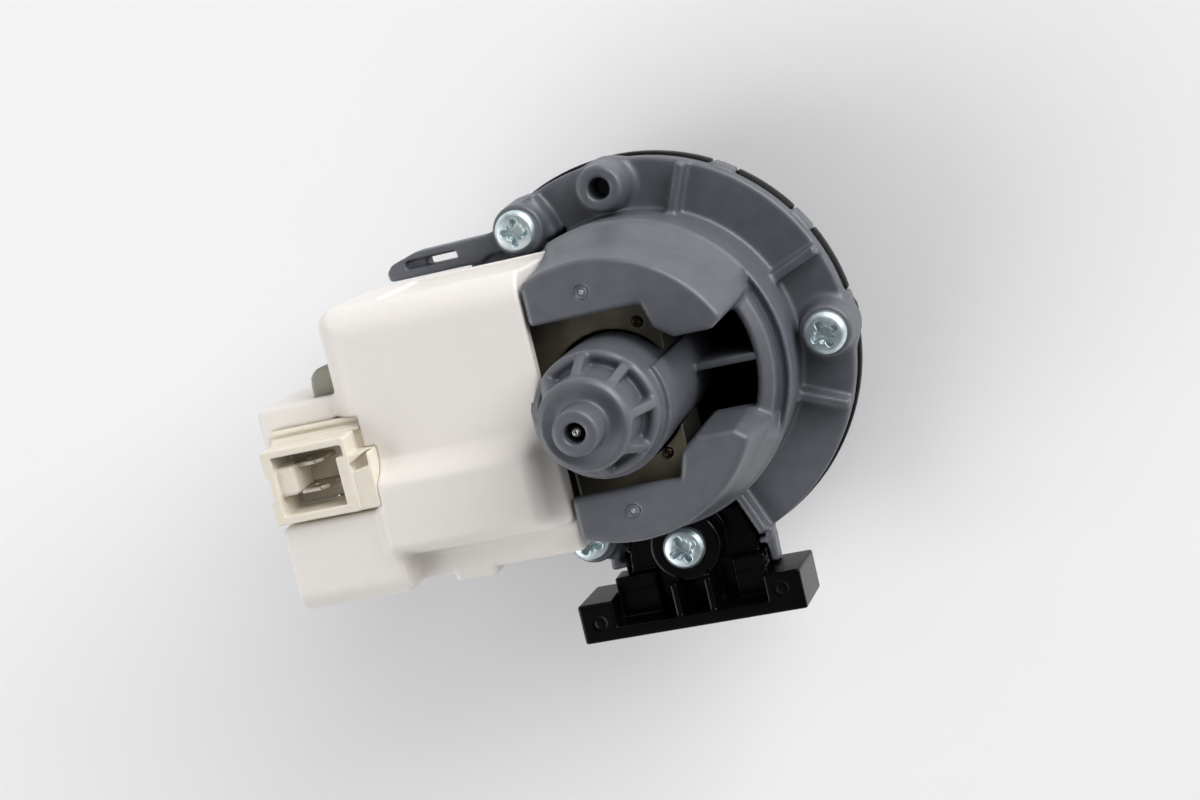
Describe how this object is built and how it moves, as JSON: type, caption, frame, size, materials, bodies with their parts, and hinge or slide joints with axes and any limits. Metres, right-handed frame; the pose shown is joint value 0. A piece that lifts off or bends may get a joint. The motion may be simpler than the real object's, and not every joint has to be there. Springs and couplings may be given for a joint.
{
  "type": "dishwasher drain pump",
  "caption": "Dishwasher drain pump: synchronous motor with a plastic rotor can and boxed coils on a round flange, with a tab connector, a mounting foot and a pump chamber behind the flange.",
  "frame": {"origin": "on the shaft's axis, in the plane of the chamber's flat front wall, at the mouth of the inlet", "axes": "+Z along the shaft from the inlet to the motor's nose, +X away from the coils and their connector, +Y away from the mounting foot"},
  "size_m": [0.1076, 0.0921, 0.096],
  "materials": {
    "grey_plastic": "satin moulding",
    "white_plastic": "satin moulding",
    "cream_plastic": "satin moulding",
    "black_plastic": "satin moulding",
    "lamination_steel": "varnished sheets",
    "copper_wire": "enamelled",
    "bobbin_plastic": "satin moulding",
    "zinc_steel": "bright zinc",
    "tin": "tinned",
    "shaft_steel": "ground",
    "bronze": "sintered",
    "ferrite": "ground",
    "rubber": "matt",
    "ivory_plastic": "satin moulding"
  },
  "bodies": {
    "pump_body": {"motor_housing": "grey_plastic", "stator_core": "lamination_steel", "core_rivets": "copper_wire", "upper_bobbin": "bobbin_plastic", "lower_bobbin": "bobbin_plastic", "upper_coil": "copper_wire", "lower_coil": "copper_wire", "coil_cover": "white_plastic", "cover_tray": "white_plastic", "connector_housing": "cream_plastic", "terminal_blades": "tin", "thermal_protector": "black_plastic", "seal_plate": "black_plastic", "pump_chamber": "black_plastic", "chamber_o_ring": "rubber", "bearing_carrier": "ivory_plastic", "carrier_o_ring": "rubber", "front_bush": "bronze", "rear_bush": "bronze", "shaft_seal": "rubber", "thrust_washers": "ivory_plastic", "mounting_foot": "black_plastic", "flange_screws": "zinc_steel", "foot_screw": "zinc_steel"},
    "rotor": {"rotor_shaft": "shaft_steel", "rotor_hub": "ivory_plastic", "rotor_magnet": "ferrite", "drive_dog": "ivory_plastic", "impeller_clip": "shaft_steel"},
    "impeller": {"impeller": "ivory_plastic"}
  },
  "joints": [
    {"name": "rotor_spin", "type": "hinge", "parent": "pump_body", "child": "rotor", "pos_m": [0, 0, 0.055], "axis": [0, 0, 1], "continuous": true},
    {"name": "impeller_free_play", "type": "hinge", "parent": "rotor", "child": "impeller", "pos_m": [0, 0, 0.0117], "axis": [0, 0, 1], "range_deg": [-115, 115]}
  ]
}
